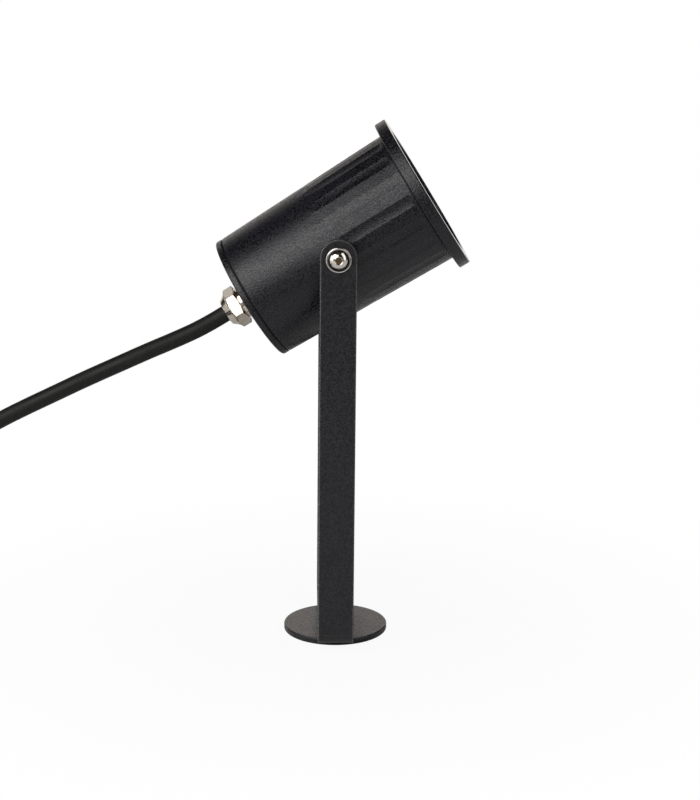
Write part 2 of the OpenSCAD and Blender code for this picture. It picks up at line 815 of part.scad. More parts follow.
// Two ties round the coil, each as wide as the turns it holds
module coil_tie(share) {
    radii = [for (k = [0:coil_turns - share]) coil_r(k + share)];
    low_r = min(radii) - cable_r - loose_gap;
    high_r = max(radii) + cable_r + loose_gap;
    top = coil_top_z + cable_r + loose_gap + tie_t;
    translate([coil_x, coil_y, 0]) rotate(90 + 360 * share) rotate([90, 0, 0])
        linear_extrude(tie_w, center = true) difference() {
            tie_outline(low_r - tie_t, high_r + tie_t, 0, top, tie_corner_r + tie_t);
            tie_outline(low_r, high_r, tie_t, top - tie_t, tie_corner_r);
        }
}

module tie_outline(x0, x1, y0, y1, r) {
    polygon(concat(
        arc(x1 - r, y1 - r, r, 0, 90, 4), arc(x0 + r, y1 - r, r, 90, 180, 4),
        arc(x0 + r, y0 + r, r, 180, 270, 4), arc(x1 - r, y0 + r, r, 270, 360, 4)
    ));
}

module coil_ties() {
    color("black") for (share = [1 / 4, 3 / 4]) coil_tie(share);
}

// Free end of the cable: three bared cores with ferrules
function end_side() = cross(end_way, [0, 0, 1]);
function end_lift(i) = i == 0 ? core_ring_r - core_r / 2 : -core_r / 2;
function end_start(i) = free_end + end_side() * core_ring_r * i + [0, 0, end_lift(i)];
function end_stop(i) =
    let (p = end_start(i) + bare_l * end_way + end_side() * core_d * i)
    [p[0], p[1], core_r];
module core_end(i) {
    start = end_start(i);
    stop = end_stop(i);
    drop = [0, 0, start[2] - stop[2]];
    tube([
        start, start + core_r * end_way, (5 * start + stop) / 6 + drop / 8, (start + stop) / 2,
        (start + 5 * stop) / 6 - drop / 8, stop - core_r * end_way, stop
    ], core_r, 8, [0, 0, 1]);
}

module core_brown_end() {
    color("saddlebrown") core_end(-1);
}

module core_blue_end() {
    color("royalblue") core_end(1);
}

module core_earth_end() {
    color("yellowgreen") core_end(0);
}

module end_ferrules() {
    color("silver") for (i = [-1, 0, 1])
        tube([end_stop(i) + fit_gap * end_way, end_stop(i) + ferrule_l * end_way], ferrule_r, 8, [0, 0, 1]);
}

// The cable's length outside the gland, and the least gap between the coil's turns
function path_length(p, i = 1) = i == len(p) ? 0 : norm(p[i] - p[i - 1]) + path_length(p, i + 1);
coil_gap = min([
    for (i = [0:len(coil_line) - 1], j = [i + coil_steps / 2:len(coil_line) - 1])
        norm(coil_line[i] - coil_line[j])
]) - cable_d;
sheath_l = stub_in - stub_out + loose_gap + path_length(run_path) + path_length(coil_path);
echo(cable_length = sheath_l + bare_l, coil_gap = coil_gap);

foot_plate();
hollow_stem();
spacer_washer();
stem_nut();
yoke_bracket();
housing();
back_cover();
cover_gasket();
cover_screws();
gland_body();
gland_nut();
gland_locknut();
gland_seal();
pivot_screws();
friction_washers();
holder_plate();
plate_screws();
lampholder();
holder_screws();
holder_contacts();
earth_tag();
earth_screw();
core_brown_inside();
core_blue_inside();
core_earth_inside();
lamp_body();
lamp_lens();
lamp_pins();
glass_gasket();
front_glass();
front_ring();
ring_seal();
cable_stub();
cable_run();
cable_coil();
coil_ties();
core_brown_end();
core_blue_end();
core_earth_end();
end_ferrules();
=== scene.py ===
# %% [markdown]
# # A garden spotlight, dressed for its photograph
# The solids come packed from the CAD model and are never moved. This script gives each of them
# a finish, makes the flexible cable and a few small parts that the solids leave plain, and sets
# up the camera, the lamps and the floor. Everything is in metres, in the model's own frame:
# the origin is under the middle of the foot, +X is where the lamp points and +Z is up.

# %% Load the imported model
import json
import math

import bpy
from mathutils import Matrix, Vector


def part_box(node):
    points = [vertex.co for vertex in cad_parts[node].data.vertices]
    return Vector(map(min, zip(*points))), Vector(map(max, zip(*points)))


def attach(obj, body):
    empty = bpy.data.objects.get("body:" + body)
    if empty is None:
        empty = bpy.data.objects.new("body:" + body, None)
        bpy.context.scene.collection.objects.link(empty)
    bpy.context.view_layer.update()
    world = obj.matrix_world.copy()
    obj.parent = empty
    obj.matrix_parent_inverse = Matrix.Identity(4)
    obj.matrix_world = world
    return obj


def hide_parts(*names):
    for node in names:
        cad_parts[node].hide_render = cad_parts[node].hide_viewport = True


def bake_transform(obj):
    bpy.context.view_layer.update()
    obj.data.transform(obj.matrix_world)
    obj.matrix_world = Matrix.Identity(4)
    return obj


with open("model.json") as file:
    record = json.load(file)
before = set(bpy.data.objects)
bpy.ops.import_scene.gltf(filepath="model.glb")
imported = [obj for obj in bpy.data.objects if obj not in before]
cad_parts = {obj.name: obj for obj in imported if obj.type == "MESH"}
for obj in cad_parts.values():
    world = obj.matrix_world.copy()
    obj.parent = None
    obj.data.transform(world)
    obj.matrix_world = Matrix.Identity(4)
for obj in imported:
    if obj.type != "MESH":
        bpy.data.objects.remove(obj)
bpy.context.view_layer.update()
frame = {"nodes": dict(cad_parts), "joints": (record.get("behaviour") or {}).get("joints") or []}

mm = 0.001
print("nodes:", len(frame["nodes"]))

# %% [markdown]
# The head tilts about a pivot, and its ring turns about the lamp's own axis. Both come from the
# model's joints, so that whatever is placed along the lamp's axis follows the model.

# %% The head's pivot and axis
joints = {joint["name"]: joint for joint in frame["joints"]}
pivot = Vector(joints["head_tilt"]["pos_m"])
head_way = Vector(joints["ring_turn"]["axis"])
side_way = Vector((0, 1, 0))
head_up = head_way.cross(side_way) * -1


def reach(node, way):
    """The lowest and highest place of a node along a direction, measured from the pivot."""
    places = [(v.co - pivot).dot(way) for v in frame["nodes"][node].data.vertices]
    return min(places), max(places)


def head_point(along, side=0.0, up=0.0):
    """A place in the head: so far from the pivot along the lamp's axis, sideways and up."""
    return pivot + head_way * along + side_way * side + head_up * up


gland_mouth = reach("gland_nut", head_way)[0]
print("gland mouth at", round(gland_mouth / mm, 2), "mm from the pivot")

# %% [markdown]
# The camera repeats the photograph's view. Its place and turn were found by fitting the model's
# edges to the picture: it stands almost square to the side, a little above, and looks down.

# %% Camera
eye = Vector((-13.26, -935.3, 352.8)) * mm
yaw = math.radians(1.25)
pitch = math.radians(-14.17)
roll = math.radians(0.11)
photo_high = 800
focal_pixels = 1993.7
sensor_mm = 36

camera_data = bpy.data.cameras.new("camera")
camera_data.sensor_width = sensor_mm
camera_data.lens = camera_data.sensor_width * focal_pixels / photo_high
camera = bpy.data.objects.new("camera", camera_data)
bpy.context.scene.collection.objects.link(camera)
ahead = Vector((math.sin(yaw) * math.cos(pitch), math.cos(yaw) * math.cos(pitch), math.sin(pitch)))
level_right = Vector((math.cos(yaw), -math.sin(yaw), 0))
level_up = level_right.cross(ahead)
right = level_right * math.cos(roll) + level_up * math.sin(roll)
up = level_up * math.cos(roll) - level_right * math.sin(roll)
camera.matrix_world = Matrix.Translation(eye) @ Matrix((right, up, -ahead)).transposed().to_4x4()
bpy.context.scene.camera = camera
print("lens", round(camera_data.lens, 1), "mm")

# %% [markdown]
# ## Helpers for shapes
# New pieces are modelled with operators. These act on whatever is selected, and the import
# leaves everything selected, so each piece starts with nothing selected.

# %% Start, finish and place a piece
def nothing_selected():
    if bpy.context.mode != "OBJECT":
        bpy.ops.object.mode_set(mode="OBJECT")
    bpy.ops.object.select_all(action="DESELECT")


def select_only(piece):
    nothing_selected()
    piece.select_set(True)
    bpy.context.view_layer.objects.active = piece


def finish_piece(piece, name, smooth_deg):
    """Names a piece, bakes its place into its mesh and shades it."""
    select_only(piece)
    piece.name = name
    piece.data.name = name
    bpy.ops.object.transform_apply(location=True, rotation=True, scale=True)
    bpy.ops.object.shade_smooth_by_angle(angle=math.radians(smooth_deg))
    return piece


def apply_modifier(piece, kind, **settings):
    select_only(piece)
    modifier = piece.modifiers.new(kind.title(), kind)
    for key, value in settings.items():
        setattr(modifier, key, value)
    bpy.ops.object.modifier_apply(modifier=modifier.name)


# %% [markdown]
# A cable or a core is a tube that follows a line. A curve with a round bevel makes such a tube
# with even rings, and it is turned into a mesh.

# %% Smooth lines and tubes
def smooth_line(points, steps):
    """A smooth line through all the points, with that many steps between each two."""
    last = len(points) - 1
    spans = [points[min(i + 1, last)] - points[max(i - 1, 0)] for i in range(last + 1)]
    ways = [span.normalized() for span in spans]
    line = []
    for i in range(last):
        a, b = points[i], points[i + 1]
        long = (b - a).length
        for k in range(steps):
            t = k / steps
            near = (1 + 2 * t) * (1 - t) ** 2
            far = t ** 2 * (3 - 2 * t)
            out = long * t * (1 - t) ** 2
            back = long * t ** 2 * (t - 1)
            line.append(a * near + b * far + ways[i] * out + ways[i + 1] * back)
    return line + [points[-1]]


def drawn_line(name, line):
    """A curve with straight spans through the points, selected alone."""
    data = bpy.data.curves.new(name, "CURVE")
    data.dimensions = "3D"
    spline = data.splines.new("POLY")
    spline.points.add(len(line) - 1)
    for point, place in zip(spline.points, line):
        point.co = (*place, 1)
    piece = bpy.data.objects.new(name, data)
    bpy.context.scene.collection.objects.link(piece)
    select_only(piece)
    return piece


def line_to_mesh():
    """Turns the selected curve into a mesh, which takes its place."""
    bpy.ops.object.convert(target="MESH")
    return bpy.context.view_layer.objects.active


def tube(name, line, radius, roundness):
    """A closed round tube along a line, as a mesh. More roundness gives it more sides."""
    data = drawn_line(name, line).data
    data.bevel_depth = radius
    data.bevel_resolution = roundness
    data.use_fill_caps = True
    data.twist_mode = "MINIMUM"
    piece = line_to_mesh()
    merge_points(piece)
    return finish_piece(piece, name, smooth_deg=60)


def merge_points(piece, distance=0.01 * mm):
    select_only(piece)
    bpy.ops.object.mode_set(mode="EDIT")
    bpy.ops.mesh.select_all(action="SELECT")
    bpy.ops.mesh.remove_doubles(threshold=distance)
    bpy.ops.mesh.normals_make_consistent(inside=False)
    bpy.ops.object.mode_set(mode="OBJECT")


# %% [markdown]
# ## The cable
# The lead is a round rubber cable, 8 mm thick. It leaves the gland straight along the lamp's
# axis, sags in one long curve out of the picture and comes down to the ground, where the length
# that the photograph doesn't show is wound up and tied as in a shop. The points repeat the
# route of the CAD model, and a smooth line through them takes the corners out.

# %% The cable's route
cable_r = 4 * mm
coil_x = -0.268
coil_min_r = 0.0325
coil_pitch = 0.0085
coil_turns = 5.5
drop_turns = 0.5
coil_low_z = 0.0055
coil_top_z = coil_low_z + coil_pitch
coil_steps = 36
route_steps = 4
coil_y = -0.02
coil_out_r = coil_min_r + coil_pitch * coil_turns / 2
straight = 2 * cable_r
route = [
    (-0.0615, 0, 0.1541), (-0.067, 0, 0.1512), (-0.073, 0, 0.1484), (-0.081, 0, 0.1449),
    (-0.089, 0, 0.1415), (-0.104, 0, 0.1348), (-0.12, 0, 0.1276), (-0.136, 0, 0.12),
    (-0.149, 0, 0.1138), (-0.161, 0.0008, 0.1076), (-0.172, 0.003, 0.1009),
    (-0.181, 0.0066, 0.0932), (-0.188, 0.0113, 0.084), (-0.1935, 0.0165, 0.0735),
    (-0.198, 0.022, 0.062), (-0.202, 0.027, 0.051), (-0.207, 0.0312, 0.041),
    (-0.214, 0.034, 0.0316), (-0.223, 0.0354, 0.0236), (-0.233, 0.0359, 0.0179),
    (-0.242, 0.0359, 0.0149),
]


def coil_point(turns):
    """A point of the coil: it winds in on the top layer, drops, and winds out underneath."""
    r = coil_min_r + coil_pitch * abs(turns - coil_turns / 2)
    drop = min(max((turns - coil_turns / 2) / drop_turns + 0.5, 0), 1)
    angle = math.radians(90 + 360 * turns)
    z = coil_top_z - coil_pitch * (1 - math.cos(math.pi * drop)) / 2
    return Vector((coil_x + r * math.cos(angle), coil_y + r * math.sin(angle), z))


stub_low, stub_high = reach("cable_stub", head_way)
cable_in = [head_point(stub_high), head_point((stub_high + gland_mouth) / 2)]
cable_out = [head_point(gland_mouth), head_point(stub_low), head_point(stub_low - cable_r / 2)]
cable_down = [Vector(place) for place in route]
cable_flat = [Vector((coil_x + i * straight, coil_y + coil_out_r, coil_top_z)) for i in (2, 1)]
coil_line = [coil_point(i / coil_steps) for i in range(int(coil_turns * coil_steps) + 1)]
coil_end = coil_line[-1]
end_way = Vector((0, 0, 1)).cross(coil_end - Vector((coil_x, coil_y, coil_end.z))).normalized()
free_end = coil_end + end_way * straight
free_line = smooth_line(cable_in + cable_out + cable_down + cable_flat, route_steps)
cable_line = free_line + coil_line + [free_end]
cable_long = sum((b - a).length for a, b in zip(cable_line, cable_line[1:]))
print("cable", round(cable_long, 3), "m")

# %% The cable itself
cable = tube("mains_cable", cable_line, cable_r, roundness=8)
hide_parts("cable_stub", "cable_run", "cable_coil")

# %% [markdown]
# At its free end the sheath is cut square and three cores come out, two with a plain cover and
# the earth in green and yellow. Each ends in a crimped ferrule. The same three cores run inside
# the head, from the sheath to the lampholder and the earth tag.

# %% Bared cores
core_r = 1.25 * mm
core_ring = 2.1 * mm
bare_long = 34 * mm
tail_steps = 8
cores_across = {"brown": -1, "earth": 0, "blue": 1}
end_side = end_way.cross(Vector((0, 0, 1)))


def core_tail_line(i):
    """The line of a bared core from the sheath down to the ground, left, middle or right."""
    lift = core_ring - core_r / 2 if i == 0 else -core_r / 2
    start = free_end + end_side * core_ring * i + Vector((0, 0, lift))
    stop = start + end_way * bare_long + end_side * 2 * core_r * i
    stop.z = core_r
    drop = Vector((0, 0, start.z - stop.z))
    return smooth_line([
        start - end_way * core_r, start, (start * 5 + stop) / 6 + drop / 8, (start + stop) / 2,
        (start + stop * 5) / 6 - drop / 8, stop - end_way * core_r, stop,
    ], tail_steps)


tails = {}
for colour, i in cores_across.items():
    tails[colour] = tube(f"{colour}_core_tail", core_tail_line(i), core_r, roundness=4)
    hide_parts(f"core_{colour}_end")

# %% [markdown]
# A ferrule is a thin tinned tube, pinched in three places by the crimping tool. It starts as a
# cylinder with rings cut across it, and every second ring is squeezed.

# %% Ferrules
ferrule_r = 0.9 * mm
ferrule_long = 8 * mm
ferrule_sides = 20
ferrule_rings = 8
crimp = 0.22
crimped_from = 0.2
crimped_to = 0.9


def ferrule(name, start):
    nothing_selected()
    bpy.ops.mesh.primitive_cylinder_add(
        vertices=ferrule_sides, radius=ferrule_r, depth=ferrule_long,
        location=start + end_way * ferrule_long / 2,
        rotation=end_way.to_track_quat("Z", "Y").to_euler(),
    )
    piece = bpy.context.object
    bpy.ops.object.mode_set(mode="EDIT")
    for k in range(1, ferrule_rings):
        place = start + end_way * ferrule_long * k / ferrule_rings
        bpy.ops.mesh.select_all(action="SELECT")
        bpy.ops.mesh.bisect(plane_co=place, plane_no=end_way)
    bpy.ops.object.mode_set(mode="OBJECT")
    finish_piece(piece, name, smooth_deg=40)
    for v in piece.data.vertices:
        along = (v.co - start).dot(end_way) / ferrule_long
        second = round(along * ferrule_rings) % 2 == 0
        squeeze = crimp if second and crimped_from < along < crimped_to else 0
        middle = start + end_way * along * ferrule_long
        v.co = middle + (v.co - middle) * (1 - squeeze)
    return piece


ferrules = []
for colour, i in cores_across.items():
    tip = core_tail_line(i)[-1]
    ferrules.append(ferrule(f"{colour}_ferrule", tip))
    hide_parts("end_ferrules")
print("core tails and ferrules:", *(piece.name for piece in [*tails.values(), *ferrules]))

# %% [markdown]
# The cores inside the head sit behind the lampholder's plate. Nobody sees them while the cover
# is on, but the head has to be right when it is taken apart.

# %% Cores inside the head
def head_line(places, steps=6):
    """A smooth line through places in the head, given along its axis, sideways and up."""
    return smooth_line([head_point(*place) for place in places], steps)


def middle_of(node):
    low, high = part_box(node)
    return (low + high) / 2


stub_face = reach("cable_stub", head_way)[1]
contact_face = reach("holder_contacts", head_way)[0]
pin_out = 5 * mm
lift = (contact_face - stub_face) / 5
leads = {}
for colour, turn, side in (("brown", 30, 1), ("blue", 150, -1)):
    up_in = -core_ring * math.cos(math.radians(turn))
    side_in = core_ring * math.sin(math.radians(turn))
    up_out = -side * pin_out
    places = [(stub_face, side_in, up_in), (stub_face + lift, side_in, up_in)]
    for share, off in ((0.25, lift / 4), (0.5, 0), (0.75, -lift / 4)):
        along = stub_face + (contact_face - stub_face) * share + off
        places.append((along, side_in * (1 - share), up_in + (up_out - up_in) * share))
    places += [(contact_face - lift, 0, up_out), (contact_face, 0, up_out)]
    leads[colour] = tube(f"{colour}_core_lead", head_line(places), core_r, roundness=4)
    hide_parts(f"core_{colour}_inside")

tag_low = reach("earth_tag", head_way)[0]
tag_neck = reach("earth_tag", side_way)[1]
tag_neck_long = tag_neck - sum(reach("earth_screw", side_way)) / 2
rest = tag_low - core_r
drop = (rest - stub_face) / 4
earth_places = [
    (stub_face, -core_ring, 0),
    (stub_face + drop, -core_ring, 0),
    (stub_face + 2 * drop, -2 * core_ring, 0),
    (rest - drop, (tag_neck - core_ring) / 2, 0),
    (rest - drop / 3, tag_neck + 2 * core_r, 0),
    (rest, tag_neck, 0),
    (rest, tag_neck - tag_neck_long / 3, 0),
]
leads["earth"] = tube("earth_core_lead", head_line(earth_places), core_r, roundness=4)
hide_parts("core_earth_inside")
print("core leads:", *(piece.name for piece in leads.values()))

# %% [markdown]
# Each tie round the coil is a flat nylon strap. The solids have the strap, and this adds the
# part that a strap can't be without: the small box that holds its end. The box is a cube whose
# upper face is inset and sunk, so that it has a wall and a hole.

# %% Tie heads
tie_w = 5 * mm
tie_shares = (0.25, 0.75)
box_long = 6.4 * mm
box_wide = tie_w + 2 * mm
box_high = 2.2 * mm
box_wall = 1 * mm
box_edge = 0.3 * mm
hole_deep = 0.9 * mm
hole_taper = 0.15 * mm
faces_up = 0.9


def tie_head(name, share):
    """The box of the tie that is at this share of a turn round the coil."""
    angle = math.radians(90 + 360 * share)
    way = Vector((math.cos(angle), math.sin(angle), 0))
    begun = range(math.ceil(coil_turns))
    radii = [coil_min_r + coil_pitch * abs(k + share - coil_turns / 2) for k in begun]
    middle_r = (min(radii) + max(radii[:int(coil_turns - share) + 1])) / 2
    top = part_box("coil_ties")[1].z
    place = Vector((coil_x, coil_y, top + box_high / 2)) + way * middle_r
    nothing_selected()
    bpy.ops.mesh.primitive_cube_add(size=1, location=place, rotation=(0, 0, angle))
    piece = bpy.context.object
    piece.scale = (box_long, box_wide, box_high)
    finish_piece(piece, name, smooth_deg=30)
    bpy.ops.object.mode_set(mode="EDIT")
    bpy.ops.mesh.select_mode(type="FACE")
    bpy.ops.mesh.select_all(action="DESELECT")
    bpy.ops.object.mode_set(mode="OBJECT")
    for face in piece.data.polygons:
        face.select = face.normal.z > faces_up
    bpy.ops.object.mode_set(mode="EDIT")
    bpy.ops.mesh.inset(thickness=box_wall, depth=0)
    bpy.ops.mesh.inset(thickness=hole_taper, depth=-hole_deep)
    bpy.ops.object.mode_set(mode="OBJECT")
    apply_modifier(piece, "BEVEL", width=box_edge, segments=2, limit_method="ANGLE")
    return finish_piece(piece, name, smooth_deg=30)


tie_heads = [tie_head(f"tie_head_{k + 1}", share) for k, share in enumerate(tie_shares)]
print("tie heads:", len(tie_heads))

# %% [markdown]
# The two pivot screws are button-head screws with a flange, and the near one shines in the
# picture's middle. A narrow groove parts the flange from the dome, and the hexagon socket
# has a turned countersink. Half of the outline is drawn as a line, spun round, and the socket
# is cut out with a hexagon. The plain solids of the model stay for collisions only.

# %% Outline of a pivot screw
flange_r = 5.95 * mm
flange_t = 0.9 * mm
groove_r = 4.85 * mm
dome_r = 4.15 * mm
dome_h = 2.0 * mm
sink_r = 1.95 * mm
sink_deep = 0.3 * mm
socket_af = 3 * mm
socket_deep = 1.7 * mm
shank_r = 2.4 * mm
shank_l = 10 * mm
edge_r = 0.3 * mm
spin_steps = 64


def arc(middle, r, low, high, steps):
    """Points of an arc round a middle, with its angles in degrees."""
    turns = [math.radians(low + (high - low) * i / steps) for i in range(steps + 1)]
    return [(middle[0] + r * math.cos(turn), middle[1] + r * math.sin(turn)) for turn in turns]


ball_r = (dome_r ** 2 + dome_h ** 2) / (2 * dome_h)
top = flange_t + dome_h
rim_angle = math.degrees(math.acos(dome_r / ball_r))
lip_angle = math.degrees(math.acos(sink_r / ball_r))
groove = (groove_r - dome_r) / 2
sink_floor = top - sink_r ** 2 / (2 * ball_r) - sink_deep
screw_outline = [
    (0, -shank_l), (shank_r, -shank_l), (shank_r, 0), (flange_r - edge_r, 0),
    *arc((flange_r - edge_r, edge_r), edge_r, -60, 0, 3),
    *arc((flange_r - 2 * edge_r, flange_t - 2 * edge_r), 2 * edge_r, 0, 90, 8),
    *arc((groove_r - groove, flange_t), groove, 0, -180, 8),
    *arc((0, top - ball_r), ball_r, rim_angle, lip_angle, 14),
    (socket_af / 2, sink_floor), (0, sink_floor),
]


# %% Pivot screws
def pivot_screw(name, place, outward):
    """A screw whose flange rests at a place and whose dome looks outward."""
    drawn_line(name, [(r, 0, height) for r, height in screw_outline])
    piece = line_to_mesh()
    bpy.ops.object.mode_set(mode="EDIT")
    bpy.ops.mesh.select_all(action="SELECT")
    bpy.ops.mesh.spin(steps=spin_steps, angle=2 * math.pi, center=(0, 0, 0), axis=(0, 0, 1))
    bpy.ops.object.mode_set(mode="OBJECT")
    merge_points(piece)
    nothing_selected()
    bpy.ops.mesh.primitive_cylinder_add(
        vertices=6, radius=socket_af / math.sqrt(3), depth=2 * socket_deep,
        location=(0, 0, sink_floor),
    )
    socket = bpy.context.object
    apply_modifier(piece, "BOOLEAN", object=socket, operation="DIFFERENCE")
    bpy.data.objects.remove(socket)
    piece.location = place
    piece.rotation_euler = Vector(outward).to_track_quat("Z", "X").to_euler()
    finish_piece(piece, name, smooth_deg=32)
    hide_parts("pivot_screws")
    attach(piece, "head")
    return piece


seat = reach("yoke_bracket", side_way)[1]
pivot_screws = [
    pivot_screw("pivot_screw_near", pivot - side_way * seat, -side_way),
    pivot_screw("pivot_screw_far", pivot + side_way * seat, side_way),
]
print("screw", [round(v / mm, 2) for v in pivot_screws[0].dimensions], "mm, on", round(seat / mm, 2))

# %% [markdown]
# ## Shader maths
# A finish is a few patterns put together by arithmetic. The Wire class stands for one socket of
# a node tree and takes over plus, minus, times and greater than, so that a pattern reads like
# a formula. The Tree class makes the nodes, for a material or for the world, and a Finish is a
# material's tree with the patterns that the coats, metals and plastics below are made of.

# %% Sockets with arithmetic
class Wire:
    def __init__(self, tree, socket):
        self.tree = tree
        self.socket = socket

    def __add__(self, other):
        return self.tree.math("ADD", self, other)

    def __radd__(self, other):
        return self.tree.math("ADD", other, self)

    def __sub__(self, other):
        return self.tree.math("SUBTRACT", self, other)

    def __rsub__(self, other):
        return self.tree.math("SUBTRACT", other, self)

    def __mul__(self, other):
        return self.tree.math("MULTIPLY", self, other)

    def __rmul__(self, other):
        return self.tree.math("MULTIPLY", other, self)

    def __gt__(self, other):
        return self.tree.math("GREATER_THAN", self, other)


# %% Trees of nodes
class Tree:
    """The nodes of one material, or of the world."""

    def __init__(self, owner):
        owner.use_nodes = True
        self.nodes = owner.node_tree.nodes
        self.links = owner.node_tree.links

    def node(self, kind, settings=None, **inputs):
        made = self.nodes.new(kind)
        for key, value in (settings or {}).items():
            setattr(made, key, value)
        for key, value in inputs.items():
            self.put(made.inputs[key.replace("_", " ")], value)
        return made

    def put(self, socket, value):
        if isinstance(value, Wire):
            self.links.new(value.socket, socket)
        elif isinstance(value, bpy.types.NodeSocket):
            self.links.new(value, socket)
        else:
            socket.default_value = value

    def math(self, operation, a, b=0.0):
        made = self.node("ShaderNodeMath", {"operation": operation})
        self.put(made.inputs[0], a)
        self.put(made.inputs[1], b)
        return Wire(self, made.outputs[0])

    def ramp(self, value, low, high, out_low=0.0, out_high=1.0):
        made = self.node("ShaderNodeMapRange", {"interpolation_type": "SMOOTHSTEP"})
        for key, number in (("Value", value), ("From Min", low), ("From Max", high),
                            ("To Min", out_low), ("To Max", out_high)):
            self.put(made.inputs[key], number)
        return Wire(self, made.outputs["Result"])

    def axis(self, place, name):
        made = self.node("ShaderNodeSeparateXYZ", Vector=place)
        return Wire(self, made.outputs[name])

    def mix(self, share, first, second):
        """A colour between two colours, which a mix node takes in at 6 and 7 and gives out at 2."""
        made = self.node("ShaderNodeMix", {"data_type": "RGBA"})
        self.put(made.inputs[0], share)
        self.put(made.inputs[6], first if isinstance(first, Wire) else (*first, 1))
        self.put(made.inputs[7], second if isinstance(second, Wire) else (*second, 1))
        return Wire(self, made.outputs[2])

    def ray(self, *kinds):
        """1 for rays of these kinds, such as Camera and Glossy, and 0 for all others."""
        path = self.node("ShaderNodeLightPath")
        total = Wire(self, path.outputs[f"Is {kinds[0]} Ray"])
        for kind in kinds[1:]:
            total = self.math("MAXIMUM", total, path.outputs[f"Is {kind} Ray"])
        return total


class Finish(Tree):
    """One procedural material, built around a Principled shader."""

    def __init__(self, name, color, roughness, metallic=0.0, **constants):
        self.material = bpy.data.materials.new(name)
        super().__init__(self.material)
        self.shader = self.nodes["Principled BSDF"]
        self.shader.inputs["Base Color"].default_value = (*color, 1)
        self.shader.inputs["Roughness"].default_value = roughness
        self.shader.inputs["Metallic"].default_value = metallic
        for key, value in constants.items():
            title = key.replace("_", " ").title().replace("Ior", "IOR")
            self.shader.inputs[title].default_value = value
        self.place = self.node("ShaderNodeTexCoord").outputs["Object"]

    def noise(self, size, detail=2.0, roughness=0.5):
        """A soft random pattern from 0 to 1 whose blotches are about that size, in metres."""
        made = self.node(
            "ShaderNodeTexNoise", Vector=self.place, Scale=1 / size, Detail=detail,
            Roughness=roughness,
        )
        return Wire(self, made.outputs["Fac"])

    def coat_color(self, value):
        self.put(self.shader.inputs["Base Color"], value)

    def roughness(self, value):
        self.put(self.shader.inputs["Roughness"], value)

    def along(self, way, origin):
        """How far a point lies along a direction from an origin, in metres."""
        made = self.node("ShaderNodeVectorMath", {"operation": "DOT_PRODUCT"})
        self.put(made.inputs[0], self.place)
        self.put(made.inputs[1], way)
        return Wire(self, made.outputs["Value"]) - origin.dot(way)

    def rounded(self, radius):
        """The normal of a surface whose sharp edges are rounded by a radius."""
        return self.node("ShaderNodeBevel", {"samples": 6}, Radius=radius).outputs["Normal"]

    def edges(self, radius, low, high):
        """1 along sharp edges and 0 on plain faces: where the rounded normal leaves the true one."""
        made = self.node("ShaderNodeVectorMath", {"operation": "DOT_PRODUCT"})
        self.put(made.inputs[0], self.rounded(radius))
        self.put(made.inputs[1], self.node("ShaderNodeNewGeometry").outputs["True Normal"])
        return self.ramp(Wire(self, made.outputs["Value"]), low, high, 1, 0)

    def bump(self, height, depth, edge=0.0):
        """Raises and lowers the surface by a pattern from 0 to 1, that deep in metres, and
        lets its sharp edges catch the light as if they were rounded by the radius edge."""
        made = self.node("ShaderNodeBump", Height=height, Distance=depth, Strength=1.0)
        if edge:
            self.put(made.inputs["Normal"], self.rounded(edge))
        self.links.new(made.outputs["Normal"], self.shader.inputs["Normal"])


def dress(finish, slot, *pieces):
    """Puts a finish on CAD nodes, by name, or on pieces."""
    for piece in pieces:
        target = frame["nodes"][piece] if isinstance(piece, str) else piece
        if target.material_slots:
            for each in target.material_slots:
                each.material = finish.material
        else:
            target.data.materials.append(finish.material)
        not isinstance(piece, str)


# %% [markdown]
# ## Powder coat
# The cast head is sprayed with black polyester powder. Baked, it has a fine sandy grain of just
# under a millimetre. One noise makes that grain three times over: as grains lighter and darker
# than the coat, as grains with more and less gloss, which break the light up into tiny sparks,
# and as a shallow bump. The sharp edges are painted lighter, partly as rubbed wear and partly as
# a painted highlight, most of all on the yoke. What faces up on the foot is painted lighter in
# patches, partly dusty and partly a painted sheen.

# %% Black powder coats
edge_round = 0.5 * mm
# The colour that sharp edges are painted: rubbed wear and a painted highlight.
wear_and_highlight_color = (0.5, 0.49, 0.47)
wear_and_highlight_span = (0.85, 0.995)
coat_cloud = 9 * mm
cloud_gloss = 0.1
grain_gloss = 0.2
sand_span = (0.42, 0.58)
sand_rough = 0.6
pit_size = 2.6
pit_share = 0.15
smooth_over = 0.3 * mm
smooth_grain = 0.1
smooth_gloss = 0.25


